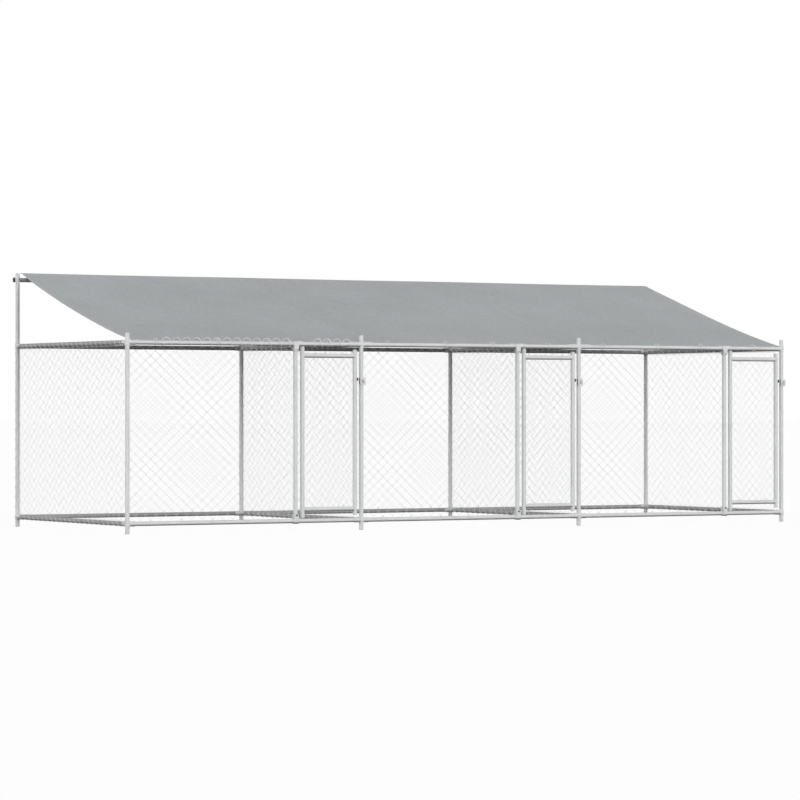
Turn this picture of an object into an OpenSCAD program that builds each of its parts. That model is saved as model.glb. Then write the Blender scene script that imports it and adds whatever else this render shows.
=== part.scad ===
// Outdoor dog kennel run: three bays side by side under one sloping roof sheet.
// X runs along the length, the doors face -Y and the posts stand on Z = 0.
// The origin is the middle of the footprint, on the ground. Sizes are millimetres.

/* [Layout] */
// Distance between neighbouring posts along the length
bay_w = 2000; // [1600:10:2400]
// Distance between the front posts and the back posts
depth = 2000; // [1500:10:2500]
// Height of the front post tubes
front_h = 1500; // [1350:10:1700]
// Height of the back post tubes
back_h = 2000; // [1850:10:2400]

/* [Tubes] */
// Outside diameter of every tube
tube_d = 33.7; // [28:0.1:38]
// Wall of every tube
tube_wall = 1.2; // [1:0.1:2]
// Thickness of the plug flanges that close the tube ends
plug_t = 3; // [2:0.5:5]
// Depth of a plug inside its tube
plug_depth = 16; // [10:1:30]
// Height of the dome on the caps of the back posts
cap_dome = 6; // [2:0.5:10]

/* [Rails] */
// Height of the bottom rail's axis above the ground
bottom_rail_z = 77; // [60:1:150]
// Distance from the front post's top down to the top rail's axis
top_rail_drop = 70; // [50:1:120]
// Distance from the back post's top down to the roof rail's axis
roof_rail_drop = 43; // [35:1:80]
// Distance from a middle back post to the joint of two roof rails
rail_joint_x = 120; // [100:1:200]
// Depth of a plug inside the end of a roof rail, where a bolt crosses it
roof_plug_depth = 16; // [14:1:24]
// Wall between the end bolt's hole and the roof rail's end
roof_rail_edge = 4; // [3:0.5:10]
// Length of the sleeve inside a roof rail joint
sleeve_len = 150; // [100:1:170]

/* [Connectors] */
// Height of the collar above and below its sockets
collar_lip = 3; // [1:0.5:10]
// Wall of the collar
collar_wall = 3; // [2.8:0.1:4]
// Length of the socket that holds a rail end, from the collar
socket_len = 42; // [34:1:60]
// Wall of the socket
socket_wall = 2.5; // [2:0.1:2.6]
// Floor between the collar and the rail end
socket_floor = 2; // [1:0.5:5]
// Diameter of the self-drilling screws
screw_d = 6; // [4:0.5:8]
// Distance of a screw from the socket's mouth
screw_inset = 14; // [10:1:20]
// Length of a screw past the tube's wall
screw_tip = 2; // [1:0.5:4]

/* [Door post] */
// Distance from the door post's axis to the hinge stile's axis
door_post_gap = 60; // [56:1:90]
// Width of the clamp round the rail
clamp_w = 46; // [36:1:54]
// Width of the clamp's legs at the bolt
strap_w = 30; // [24:1:34]
// Thickness of the clamp
strap_t = 5; // [2:0.5:6]
// Distance from the rail's axis to the clamp bolt
clamp_bolt_rise = 44; // [38:1:48]
// Length of the clamp's legs past the bolt
strap_tail = 16; // [12:1:22]

/* [Doors] */
// Distance between the axes of the two stiles
door_w = 461; // [400:1:700]
// Distance from the latch stile's axis to the post's axis
latch_gap = 57; // [54:1:70]
// Distance from a kennel rail's axis to the door rail's axis
door_rail_gap = 88; // [82:1:120]
// Length of the latch stile past the door rail's axis
stile_tail = 46; // [30:1:50]
// Diameter of the pivot pins
pivot_d = 12; // [8:1:16]
// Length of a pivot pin inside its bush
pivot_len = 40; // [25:1:60]
// Diameter of the pin's shoulder
shoulder_d = 22; // [20:1:26]
// Thickness of the pin's shoulder and of the bush's flange
shoulder_t = 3; // [2:0.5:4]

/* [Latch] */
// Height of the latch above the ground
latch_z = 1149; // [900:1:1180]
// Height of the hasp plate
hasp_h = 56; // [52:1:70]
// Thickness of the hasp plate
hasp_t = 3; // [2:0.5:4]
// Reach of the hasp past the side of the post
hasp_tab = 10; // [6:1:30]
// Corner radius of the hasp plate
hasp_corner = 12; // [2:1:14]
// Distance from the hasp's hinge to its plate
hasp_neck = 12; // [9:0.5:18]
// Height of the hasp's hinge above the middle of its plate
hinge_rise = 13; // [0:1:15]
// Wall of the saddles on the stile and the post
saddle_wall = 2.4; // [2:0.1:3]
// Diameter of the hasp's hinge pin
hasp_pin_d = 5; // [4:0.5:6]
// Height of the hasp pin's head
hasp_pin_head_h = 2; // [1:0.5:4]
// Length of the hasp pin below its knuckles
hasp_pin_tail = 1; // [0.5:0.5:3]
// Diameter of the hasp's knuckles
knuckle_d = 10; // [9:0.5:11]
// Height of the hasp's own knuckle
knuckle_h = 10; // [8:1:14]
// Height of each knuckle on the saddle
saddle_knuckle_h = 6; // [4:1:8]
// Thickness of the padlock lug
lug_t = 5; // [4:0.5:6]
// Height of the padlock lug
lug_h = 26; // [20:1:30]
// Distance from the hasp plate's front to the padlock hole's centre
lug_hole_gap = 11; // [9:1:14]
// Diameter of the padlock hole
lug_hole_d = 9; // [7:0.5:10]
// Wall between the padlock hole and the lug's tip
lug_wall = 5; // [4:0.5:7]
// Height of the keeper's saddle above and below its lug
keeper_margin = 7; // [4:1:12]
// Gap above and below the lug in the hasp's slot
slot_gap = 2; // [1:0.5:4]

/* [Chain link] */
// Nominal width of one diamond
mesh_w = 85.5; // [60:0.5:120]
// Nominal height of one diamond
mesh_h = 77.5; // [60:0.5:120]
// Diameter of the wire
wire_d = 2; // [1.6:0.1:3]

/* [Roof sheet] */
// Thickness of the sheet
sheet_t = 2; // [1:0.5:4]
// Dip of the sheet halfway between its front and back edges
sheet_sag = 32; // [10:1:60]
// Distance from an end post's axis to the sheet's side edge
sheet_inset = 26; // [23:1:60]
// Reach of the front hem past the front rail's axis
front_hem = 4; // [0:0.5:6]
// Length of the back flap past the line where it touches the roof rail
flap_tail = 2; // [0:0.5:3]
// Length of the cut that takes the flap off at each end of the sheet
flap_cut = 110; // [60:1:170]
// Distance from the sockets on a rail out to the tie loop's cord
tie_slack = 7.5; // [6:0.5:10]
// Diameter of the tie cord
tie_d = 4; // [3:0.5:5]
// Gap between the roof sheet and the collar of a front post
notch_gap = 2; // [1:0.5:4]
// Radius of an eyelet
eyelet_r = 7; // [6:0.5:8]

/* [Fasteners] */
// Diameter of the through bolts
bolt_d = 8; // [6:0.5:9]
// Distance across the flats of the bolt heads and nuts
bolt_flats = 13; // [10:0.5:15]
// Height of the bolt heads
bolt_head_h = 5.3; // [4:0.1:7]
// Height of the nuts
nut_h = 6.5; // [5:0.1:8]
// Length of a bolt past its nut
bolt_tail = 3; // [1:0.5:4]

/* [Clearances] */
// Gap between pieces that seat on each other
seat_gap = 0.3; // [0.2:0.05:0.5]
// Radial gap between a tube and what is fitted on or in it
fit_gap = 0.15; // [0.1:0.05:0.3]
// Radial gap in the pivots
run_gap = 0.05; // [0.02:0.01:0.1]
// Gap between a moving piece and its neighbour
move_gap = 0.8; // [0.6:0.1:1.5]

/* [Hidden] */
$fn = 48;

// Bays in the row, as the node list names them
bays = 3;

galvanised = [0.74, 0.75, 0.76];
wire_grey = [0.66, 0.67, 0.68];
dark_zinc = [0.33, 0.34, 0.35];
nylon_black = [0.08, 0.08, 0.09];
plug_grey = [0.8, 0.81, 0.82];
sheet_grey = [0.62, 0.63, 0.64];
cord_white = [0.88, 0.88, 0.87];

// Tubes and rails
tube_r = tube_d / 2;
bore_r = tube_r - tube_wall;
front_y = -depth / 2;
back_y = depth / 2;
top_rail_z = front_h - top_rail_drop;
rail_rise = top_rail_z - bottom_rail_z;
roof_rail_y = back_y + tube_d + seat_gap;
roof_rail_z = back_h - roof_rail_drop;
roof_end = bays * bay_w / 2 + bolt_d / 2 + fit_gap + roof_rail_edge;

// Connectors
collar_r = tube_r + fit_gap + collar_wall;
socket_bore = tube_r + fit_gap;
socket_r = socket_bore + socket_wall;
collar_h = 2 * (socket_r + collar_lip);
socket_end = collar_r + socket_len;
rail_start = collar_r + socket_floor + seat_gap;
screw_at = socket_end - screw_inset;
screw_len = socket_wall + fit_gap + tube_wall + screw_tip;
screw_head_r = screw_d * 0.95;
screw_head_h = screw_d * 0.65;

// Doors, measured from the post on the door's right
hinge_dx = latch_gap + door_w;
door_post_dx = hinge_dx + door_post_gap;
front_panel_w = bay_w - door_post_dx;
door_low_z = bottom_rail_z + door_rail_gap;
door_top_z = top_rail_z - door_rail_gap;
pivot_r = pivot_d / 2;
stile_low_z = bottom_rail_z + tube_r + 2 * shoulder_t + 2 * seat_gap;
stile_top_z = top_rail_z - tube_r - 2 * shoulder_t - seat_gap - move_gap;
bush_depth = pivot_len - shoulder_t;

// Clamp that ties a door post to a rail
strap_bore = tube_r + fit_gap;
strap_r = strap_bore + strap_t;
strap_len = clamp_bolt_rise + strap_tail;
hex_r = bolt_flats / sqrt(3);

// Latch, measured from the stile or from the post
saddle_r = tube_r + fit_gap + saddle_wall;
saddle_spread = 140;
hasp_y = -(saddle_r + move_gap + hasp_t / 2);
hinge_pin_dx = sqrt(pow(saddle_r + move_gap + knuckle_d / 2, 2) - hasp_y * hasp_y);
plate_end = latch_gap - hinge_pin_dx + tube_r + hasp_tab;
lug_dx = latch_gap - hinge_pin_dx;
lug_hole_y = hasp_y - hasp_t / 2 - lug_hole_gap;
lug_tip_r = lug_h / 2;
lug_reach = -lug_hole_y + lug_hole_d / 2 + lug_wall;
slot_near = lug_t / 2 + 2 * move_gap;
slot_far = sqrt(pow(lug_dx + lug_t / 2, 2) + pow(lug_reach + hasp_y, 2)) - lug_dx + move_gap;

// Roof sheet, in the plane across the length
rail_fitting_r = max(socket_r, strap_r);
tie_r = socket_r + tie_slack;
tie_lift = tie_r - tie_d / 2 - tube_r - seat_gap;
sheet_front_z = top_rail_z + rail_fitting_r + seat_gap;
sheet_back_z = back_h + plug_t + cap_dome + seat_gap;
sheet_back_y = back_y - tube_r;
crest_y = back_y + tube_r + plug_t;
sheet_len = bays * bay_w - 2 * sheet_inset;
sag_steps = 24;
flap_to_rail = [roof_rail_y - crest_y, roof_rail_z - sheet_back_z];
flap_side = tube_r + seat_gap;
flap_turn = atan2(flap_to_rail[1], flap_to_rail[0]) + asin(flap_side / norm(flap_to_rail));
flap_touch = sqrt(pow(norm(flap_to_rail), 2) - flap_side * flap_side);
flap_len = flap_touch + flap_tail;
flap_dir = [cos(flap_turn), sin(flap_turn)];
flap_out = [-sin(flap_turn), cos(flap_turn)];
back_rest = flap_side + sheet_t / 2 - tie_lift * flap_out[1];
back_eyelet = flap_touch + tie_lift * flap_dir[1] - sqrt(tie_r * tie_r - back_rest * back_rest);
front_slope = (sheet_back_z - sheet_front_z - 4 * sheet_sag) / (sheet_back_y - front_y);
front_run = 1 + front_slope * front_slope;
front_rest = sheet_front_z - top_rail_z + sheet_t / 2 - tie_lift;
front_root = sqrt(tie_r * tie_r * front_run - front_rest * front_rest);
front_eyelet = (front_root - front_slope * front_rest) / front_run;

// Ties hang between two wires of the front mesh, with one over each door
ties_per_panel = 3;
front_clear = front_panel_w - tube_d;
front_cols = round(front_clear / mesh_w);
tie_xs = [
  for (k = [1 : bays])
    each concat(
      [
        for (i = [0 : ties_per_panel - 1])
          post_x(k - 1) + tube_r
            + (floor(front_cols * (i + 0.5) / ties_per_panel) + 0.5) * front_clear / front_cols
      ],
      [post_x(k) - latch_gap - door_w / 2]
    )
];

function post_x(i) = (i - bays / 2) * bay_w;
function near_end(x, len, zone) = x < zone || x > len - zone;

// Shared shapes

module tube(len, wall = tube_wall, d = tube_d) {
  difference() {
    cylinder(d = d, h = len);
    translate([0, 0, -1])
      cylinder(d = d - 2 * wall, h = len + 2);
  }
}

module along_x() {
  rotate([0, 90, 0])
    children();
}

module along_y() {
  rotate([-90, 0, 0])
    children();
}

// A plug with a bevelled or domed flange, standing on the tube's end and reaching down into it
module end_plug(depth = plug_depth, dome = 0) {
  bevel = plug_t / 3;
  stem_r = bore_r - fit_gap;
  crown_r = tube_r - bevel;
  steps = dome > 0 ? [0 : 30 : 90] : [0, 90];
  rotate_extrude()
    polygon(concat(
      [
        [0, -depth], [stem_r - bevel, -depth], [stem_r, -depth + 2 * bevel], [stem_r, 0],
        [tube_r, 0], [tube_r, plug_t - bevel]
      ],
      [for (a = steps) [crown_r * cos(a), plug_t + dome * sin(a)]]
    ));
}

// A hexagon bolt along +Y with its head's underside at the origin
module bolt(len) {
  along_y() {
    cylinder(d = bolt_d, h = len);
    translate([0, 0, -bolt_head_h])
      cylinder(r = hex_r, h = bolt_head_h, $fn = 6);
  }
}

module nut() {
  along_y()
    difference() {
      cylinder(r = hex_r, h = nut_h, $fn = 6);
      translate([0, 0, -1])
        cylinder(d = bolt_d + 2 * run_gap, h = nut_h + 2);
    }
}

// A self-drilling screw that points along +Y, with its head's underside at the origin
module screw() {
  along_y() {
    cylinder(d = screw_d, h = screw_len);
    translate([0, 0, -screw_head_h])
      cylinder(r = screw_head_r, h = screw_head_h, $fn = 6);
  }
}

// Places its children at each screw of a connector, with sockets in the directions dirs.
// The screws enter each socket from its side that looks out of the kennel, towards out.
module at_screws(dirs, out) {
  for (a = dirs)
    rotate([0, 0, a])
      translate([screw_at, 0, 0])
        mirror([0, sin(a) * out[0] < cos(a) * out[1] ? 1 : 0, 0])
          translate([0, -socket_r, 0])
            children();
}

// A collar on a post with a socket for each rail that meets it there
module connector(dirs, out) {
  difference() {
    union() {
      translate([0, 0, -collar_h / 2])
        cylinder(r = collar_r, h = collar_h);
      for (a = dirs)
        rotate([0, 0, a])
          along_x()
            cylinder(r = socket_r, h = socket_end);
    }
    translate([0, 0, -collar_h])
      cylinder(r = tube_r + fit_gap, h = 2 * collar_h);
    for (a = dirs)
      rotate([0, 0, a])
        translate([collar_r + socket_floor, 0, 0])
          along_x()
            cylinder(r = socket_bore, h = socket_len);
    at_screws(dirs, out)
      along_y()
        cylinder(d = screw_d + 2 * run_gap, h = socket_r);
  }
}

// Directions in which rails leave post i of the front or the back row
function rail_dirs(i, back) =
  concat(
    i > 0 ? [180] : [],
    i < bays ? [0] : [],
    [back ? -90 : 90]
  );

module at_connectors(back) {
  for (i = [0 : bays])
    for (z = [bottom_rail_z, top_rail_z])
      translate([post_x(i), back ? back_y : front_y, z])
        let ($dirs = rail_dirs(i, back), $out = [i < bays / 2 ? -1 : 1, back ? 1 : -1])
          children();
}

// A rail between two posts, drilled for its connector screws on the given side
module rail(span, side) {
  len = span - 2 * rail_start;
  difference() {
    translate([rail_start, 0, 0])
      along_x()
        tube(len);
    for (x = [screw_at, span - screw_at])
      translate([x, 0, 0])
        rotate([90 * side, 0, 0])
          cylinder(d = screw_d + 2 * run_gap, h = tube_d);
  }
}

// One family of parallel wires, from the lower left to the upper right of a panel.
// Near a corner with a connector or a clamp the wires stop at its collar, socket or ring.
module wire_layer(w, h, fitted) {
  clear_w = w - tube_d;
  clear_h = h - tube_d;
  cols = round(clear_w / mesh_w);
  rows = round(clear_h / mesh_h);
  step = clear_h / rows;
  slope = step / (clear_w / cols);
  lean = atan(slope);
  edge = wire_d / 2 + seat_gap;
  zone_u = fitted ? socket_end - tube_r + wire_d : 0;
  zone_v = fitted ? collar_h / 2 - tube_r + wire_d : 0;
  side_edge = edge + collar_r - tube_r;
  rail_edge = edge + rail_fitting_r - tube_r;
  for (n = [1 - cols : rows - 1]) {
    rise = n * step;
    lo_u = max(edge, (edge - rise) / slope);
    hi_u = min(clear_w - edge, (clear_h - edge - rise) / slope);
    lo_side = near_end(slope * lo_u + rise, clear_h, zone_v) ? side_edge : edge;
    lo_rail = near_end(lo_u, clear_w, zone_u) ? rail_edge : edge;
    hi_side = near_end(slope * hi_u + rise, clear_h, zone_v) ? side_edge : edge;
    hi_rail = near_end(hi_u, clear_w, zone_u) ? rail_edge : edge;
    lo = max(lo_side, (lo_rail - rise) / slope);
    hi = min(clear_w - hi_side, (clear_h - hi_rail - rise) / slope);
    translate([tube_r + lo, 0, tube_r + slope * lo + rise])
      rotate([0, 90 - lean, 0])
        cylinder(d = wire_d, h = (hi - lo) / cos(lean), $fn = 16);
  }
}

// A panel of chain link between two uprights and two rails, w and h from axis to axis.
// Each zigzag wire lies flat, with its rising legs in front of its falling legs.
module chain_link(w, h, fitted) {
  layer_y = (wire_d + seat_gap) / 2;
  color(wire_grey) {
    translate([0, -layer_y, 0])
      wire_layer(w, h, fitted);
    translate([w, layer_y, 0])
      mirror([1, 0, 0])
        wire_layer(w, h, fitted);
  }
}

// A curved plate that lies on the front of an upright tube
module saddle(height) {
  side_x = 2 * saddle_r * sin(saddle_spread / 2);
  side_y = 2 * saddle_r * cos(saddle_spread / 2);
  translate([0, 0, -height / 2])
    linear_extrude(height)
      intersection() {
        difference() {
          circle(r = saddle_r);
          circle(r = tube_r + fit_gap);
        }
        polygon([[0, 0], [-side_x, -side_y], [0, -2 * saddle_r], [side_x, -side_y]]);
      }
}

// Frame

module post(x, y, len) {
  color(galvanised)
    translate([x, y, plug_t])
      tube(len - plug_t);
}

module front_post(i) {
  post(post_x(i - 1), front_y, front_h);
}

module back_post(i) {
  color(galvanised)
    difference() {
      post(post_x(i - 1), back_y, back_h);
      translate([post_x(i - 1), back_y - tube_d, roof_rail_z])
        along_y()
          cylinder(d = bolt_d + 2 * fit_gap, h = 2 * tube_d);
    }
}

module post_feet() {
  color(plug_grey)
    for (i = [0 : bays], y = [front_y, back_y])
      translate([post_x(i), y, plug_t])
        mirror([0, 0, 1])
          end_plug();
}

module post_caps() {
  color(plug_grey)
    for (i = [0 : bays]) {
      translate([post_x(i), front_y, front_h])
        end_plug();
      translate([post_x(i), back_y, back_h])
        end_plug(dome = cap_dome);
    }
}

module front_rails(z) {
  color(galvanised)
    for (k = [1 : bays])
      difference() {
        translate([post_x(k - 1), front_y, z])
          rail(bay_w, 1);
        translate([post_x(k) - hinge_dx, front_y, z - tube_d])
          cylinder(r = pivot_r + run_gap, h = 2 * tube_d);
      }
}

module back_rails(z) {
  color(galvanised)
    for (k = [1 : bays])
      translate([post_x(k - 1), back_y, z])
        rail(bay_w, -1);
}

module cross_rails(z) {
  color(galvanised)
    for (i = [0 : bays])
      translate([post_x(i), front_y, z])
        rotate([0, 0, 90])
          rail(depth, i < bays / 2 ? -1 : 1);
}

module front_connectors() {
  color(galvanised)
    at_connectors(false)
      connector($dirs, $out);
}

module back_connectors() {
  color(galvanised)
    at_connectors(true)
      connector($dirs, $out);
}

module fitting_screws() {
  color(galvanised) {
    at_connectors(false)
      at_screws($dirs, $out)
        screw();
    at_connectors(true)
      at_screws($dirs, $out)
        screw();
  }
}

module back_mesh(k) {
  translate([post_x(k - 1), back_y, bottom_rail_z])
    chain_link(bay_w, rail_rise, true);
}

module cross_mesh(i) {
  translate([post_x(i), front_y, bottom_rail_z])
    rotate([0, 0, 90])
      chain_link(depth, rail_rise, true);
}

module front_mesh(k) {
  translate([post_x(k - 1), front_y, bottom_rail_z])
    chain_link(front_panel_w, rail_rise, true);
}

// Door posts and the parts of the frame that carry the doors

module door_posts() {
  foot = bottom_rail_z + tube_r + seat_gap;
  color(galvanised)
    for (k = [1 : bays])
      translate([post_x(k) - door_post_dx, front_y, 0])
        difference() {
          translate([0, 0, foot])
            tube(rail_rise - tube_d - 2 * seat_gap);
          for (z = [bottom_rail_z + clamp_bolt_rise, top_rail_z - clamp_bolt_rise])
            translate([0, -tube_d, z])
              along_y()
                cylinder(d = bolt_d + 2 * fit_gap, h = 2 * tube_d);
        }
}

// A ring round a rail, with two tapering legs that grip the end of the door post
module clamp_strap() {
  tail_z = strap_len - strap_w / 2;
  difference() {
    intersection() {
      translate([-clamp_w / 2, 0, 0])
        rotate([90, 0, 90])
          linear_extrude(clamp_w)
            difference() {
              union() {
                circle(r = strap_r);
                translate([-strap_r, 0])
                  square([2 * strap_r, strap_len]);
              }
              circle(r = strap_bore);
              translate([-strap_bore, 0])
                square([2 * strap_bore, strap_len + 1]);
            }
      translate([0, tube_d, 0])
        rotate([90, 0, 0])
          linear_extrude(2 * tube_d) {
            polygon([
              [-clamp_w / 2, -tube_d], [clamp_w / 2, -tube_d], [clamp_w / 2, tube_r / 2],
              [strap_w / 2, tail_z], [-strap_w / 2, tail_z], [-clamp_w / 2, tube_r / 2]
            ]);
            translate([0, tail_z])
              circle(d = strap_w);
          }
    }
    translate([0, -tube_d, clamp_bolt_rise])
      along_y()
        cylinder(d = bolt_d + 2 * fit_gap, h = 2 * tube_d);
  }
}

// Places its children at each clamp, turned over for the ones on the top rails
module at_clamps() {
  for (k = [1 : bays])
    translate([post_x(k) - door_post_dx, front_y, 0]) {
      translate([0, 0, bottom_rail_z])
        children();
      translate([0, 0, top_rail_z])
        mirror([0, 0, 1])
          children();
    }
}

module door_post_clamps() {
  color(galvanised)
    at_clamps()
      clamp_strap();
}

module clamp_bolts() {
  color(dark_zinc)
    at_clamps()
      translate([0, -strap_r, clamp_bolt_rise])
        bolt(2 * strap_r + nut_h + bolt_tail);
}

module hex_nuts() {
  color(dark_zinc) {
    at_clamps()
      translate([0, strap_r, clamp_bolt_rise])
        nut();
    for (i = [0 : bays])
      translate([post_x(i), roof_rail_y + tube_r, roof_rail_z])
        nut();
  }
}

// A shouldered pivot that stands in a rail and points up into the door's hinge stile
module hinge_pin(gap) {
  crown = tube_r + seat_gap;
  translate([0, 0, -tube_r])
    cylinder(r = pivot_r, h = 2 * tube_r + seat_gap + shoulder_t + gap + pivot_len);
  translate([0, 0, crown])
    cylinder(d = shoulder_d, h = shoulder_t);
}

module hinge_pins() {
  color(galvanised)
    for (k = [1 : bays])
      translate([post_x(k) - hinge_dx, front_y, 0]) {
        translate([0, 0, bottom_rail_z])
          hinge_pin(seat_gap);
        translate([0, 0, top_rail_z])
          mirror([0, 0, 1])
            hinge_pin(move_gap);
      }
}

// A saddle on the post with a lug that stands out through the hasp
module latch_keeper() {
  saddle(lug_h + 2 * keeper_margin);
  difference() {
    translate([-lug_t / 2, 0, 0])
      rotate([90, 0, 90])
        linear_extrude(lug_t) {
          translate([-lug_reach + lug_tip_r, -lug_h / 2])
            square([lug_reach - lug_tip_r - saddle_r + saddle_wall / 2, lug_h]);
          translate([-lug_reach + lug_tip_r, 0])
            circle(r = lug_tip_r);
        }
    translate([-lug_t, lug_hole_y, 0])
      along_x()
        cylinder(d = lug_hole_d, h = 2 * lug_t);
    cylinder(r = tube_r + fit_gap, h = 2 * lug_h, center = true);
  }
}

module latch_keepers() {
  color(galvanised)
    for (k = [1 : bays])
      translate([post_x(k), front_y, latch_z])
        latch_keeper();
}

// Roof

module roof_rails() {
  joints = [-rail_joint_x, rail_joint_x];
  starts = [-roof_end, post_x(1) + joints[0] + seat_gap, post_x(2) + joints[1] + seat_gap];
  ends = [post_x(1) + joints[0] - seat_gap, post_x(2) + joints[1] - seat_gap, roof_end];
  color(galvanised)
    difference() {
      for (n = [0 : bays - 1])
        translate([starts[n], roof_rail_y, roof_rail_z])
          along_x()
            tube(ends[n] - starts[n]);
      for (i = [0 : bays])
        translate([post_x(i), roof_rail_y - tube_d, roof_rail_z])
          along_y()
            cylinder(d = bolt_d + 2 * fit_gap, h = 2 * tube_d);
    }
}

module roof_rail_sleeves() {
  color(galvanised)
    for (x = [post_x(1) - rail_joint_x, post_x(2) + rail_joint_x])
      translate([x - sleeve_len / 2, roof_rail_y, roof_rail_z])
        along_x()
          tube(sleeve_len, d = 2 * (bore_r - fit_gap));
}

module roof_rail_plugs() {
  color(nylon_black)
    for (side = [-1, 1])
      difference() {
        translate([side * roof_end, roof_rail_y, roof_rail_z])
          rotate([0, 90 * side, 0])
            end_plug(roof_plug_depth);
        translate([side * bays * bay_w / 2, roof_rail_y - tube_d, roof_rail_z])
          along_y()
            cylinder(d = bolt_d + 2 * fit_gap, h = 2 * tube_d);
      }
}

module roof_rail_bolts() {
  color(dark_zinc)
    for (i = [0 : bays])
      translate([post_x(i), back_y - tube_r, roof_rail_z])
        bolt(2 * tube_d + seat_gap + nut_h + bolt_tail);
}

// Underside of the sheet from the front hem to the crest over the back posts
function sag_point(t) = [
  front_y + (sheet_back_y - front_y) * t,
  sheet_front_z + (sheet_back_z - sheet_front_z) * t - 4 * sheet_sag * t * (1 - t)
];

module sheet_profile() {
  crest = [crest_y, sheet_back_z];
  under = concat(
    [[front_y - front_hem, sheet_front_z]],
    [for (n = [0 : sag_steps]) sag_point(n / sag_steps)],
    [crest, crest + flap_len * flap_dir]
  );
  over = concat(
    [for (n = [0 : sag_steps + 1]) under[n] + [0, sheet_t]],
    [crest + [-sheet_t * tan(flap_turn / 2), sheet_t], crest + flap_len * flap_dir + sheet_t * flap_out]
  );
  polygon(concat(under, [for (n = [len(over) - 1 : -1 : 0]) over[n]]));
}

module roof_sheet() {
  notch_r = collar_r + notch_gap;
  color(sheet_grey)
    difference() {
      translate([-sheet_len / 2, 0, 0])
        rotate([90, 0, 90])
          linear_extrude(sheet_len)
            sheet_profile();
      for (i = [1 : bays - 1])
        translate([post_x(i), front_y, sheet_front_z - collar_h])
          linear_extrude(2 * collar_h) {
            circle(r = notch_r);
            translate([-notch_r, -2 * notch_r])
              square([2 * notch_r, 2 * notch_r]);
          }
      for (side = [-1, 1])
        translate([side * sheet_len / 2 - flap_cut, crest_y, sheet_back_z - 2 * flap_len])
          cube([2 * flap_cut, 2 * flap_len, 4 * flap_len]);
      for (x = tie_xs) {
        translate([x, front_y + front_eyelet, sheet_front_z - collar_h])
          cylinder(r = eyelet_r, h = 2 * collar_h);
        translate([x, crest_y + back_eyelet * flap_dir[0], sheet_back_z + back_eyelet * flap_dir[1]])
          rotate([flap_turn, 0, 0])
            translate([0, 0, -tie_r / 2])
              cylinder(r = eyelet_r, h = tie_r);
      }
    }
}

// An elastic loop through an eyelet, drawn up against the underside of a rail
module tie_loop() {
  translate([0, 0, tie_lift])
    along_x()
      rotate_extrude()
        translate([tie_r, 0])
          circle(d = tie_d, $fn = 24);
}

module roof_ties() {
  color(cord_white)
    for (x = tie_xs) {
      translate([x, front_y, top_rail_z])
        tie_loop();
      translate([x, roof_rail_y, roof_rail_z])
        tie_loop();
    }
}

// Doors

module door_frame(k) {
  low = door_low_z - stile_tail;
  color(galvanised)
    translate([post_x(k) - hinge_dx, front_y, 0]) {
      translate([0, 0, stile_low_z])
        tube(stile_top_z - stile_low_z);
      translate([door_w, 0, low])
        tube(door_top_z + stile_tail - low);
      for (z = [door_low_z, door_top_z])
        difference() {
          translate([0, 0, z])
            along_x()
              tube(door_w);
          for (x = [0, door_w])
            translate([x, 0, z - tube_d])
              cylinder(r = tube_r + fit_gap, h = 2 * tube_d);
        }
    }
}

// A flanged bush that closes the end of the hinge stile, standing on its flange
module bush() {
  difference() {
    union() {
      cylinder(r = tube_r, h = shoulder_t);
      cylinder(r = bore_r - fit_gap, h = shoulder_t + bush_depth);
    }
    translate([0, 0, -1])
      cylinder(r = pivot_r + run_gap, h = pivot_len + 2);
  }
}

// The bushes of the hinge stile and the plugs of the latch stile
module door_bushes(k) {
  color(plug_grey)
    translate([post_x(k) - hinge_dx, front_y, 0]) {
      translate([0, 0, stile_low_z - shoulder_t])
        bush();
      translate([0, 0, stile_top_z + shoulder_t])
        mirror([0, 0, 1])
          bush();
      translate([door_w, 0, door_low_z - stile_tail])
        mirror([0, 0, 1])
          end_plug();
      translate([door_w, 0, door_top_z + stile_tail])
        end_plug();
    }
}

module door_mesh(k) {
  translate([post_x(k) - hinge_dx, front_y, door_low_z])
    chain_link(door_w, door_top_z - door_low_z, false);
}

// A saddle on the latch stile with two knuckles for the hasp
module door_latch_bracket(k) {
  color(galvanised)
    translate([post_x(k) - latch_gap, front_y, latch_z + hinge_rise])
      difference() {
        union() {
          saddle(knuckle_h + 2 * (saddle_knuckle_h + seat_gap));
          for (side = [-1, 1])
            translate([0, 0, side * (knuckle_h / 2 + seat_gap + saddle_knuckle_h / 2)])
              linear_extrude(saddle_knuckle_h, center = true) {
                translate([hinge_pin_dx, hasp_y])
                  circle(d = knuckle_d);
                polygon([
                  [0, -tube_r - fit_gap], [0, hasp_y],
                  [hinge_pin_dx, hasp_y], [hinge_pin_dx, hasp_y + knuckle_d / 4]
                ]);
              }
        }
        cylinder(r = tube_r + fit_gap, h = 2 * hasp_h, center = true);
        translate([hinge_pin_dx, hasp_y, 0])
          cylinder(d = hasp_pin_d + 2 * run_gap, h = 2 * hasp_h, center = true);
      }
}

module door_hasp_pin(k) {
  len = knuckle_h + 2 * (saddle_knuckle_h + seat_gap);
  color(dark_zinc)
    translate([post_x(k) - latch_gap + hinge_pin_dx, front_y + hasp_y, latch_z + hinge_rise]) {
      translate([0, 0, -len / 2 - hasp_pin_tail])
        cylinder(d = hasp_pin_d, h = len + hasp_pin_tail + seat_gap);
      translate([0, 0, len / 2 + seat_gap])
        cylinder(d = knuckle_d * 0.8, h = hasp_pin_head_h);
    }
}

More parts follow.
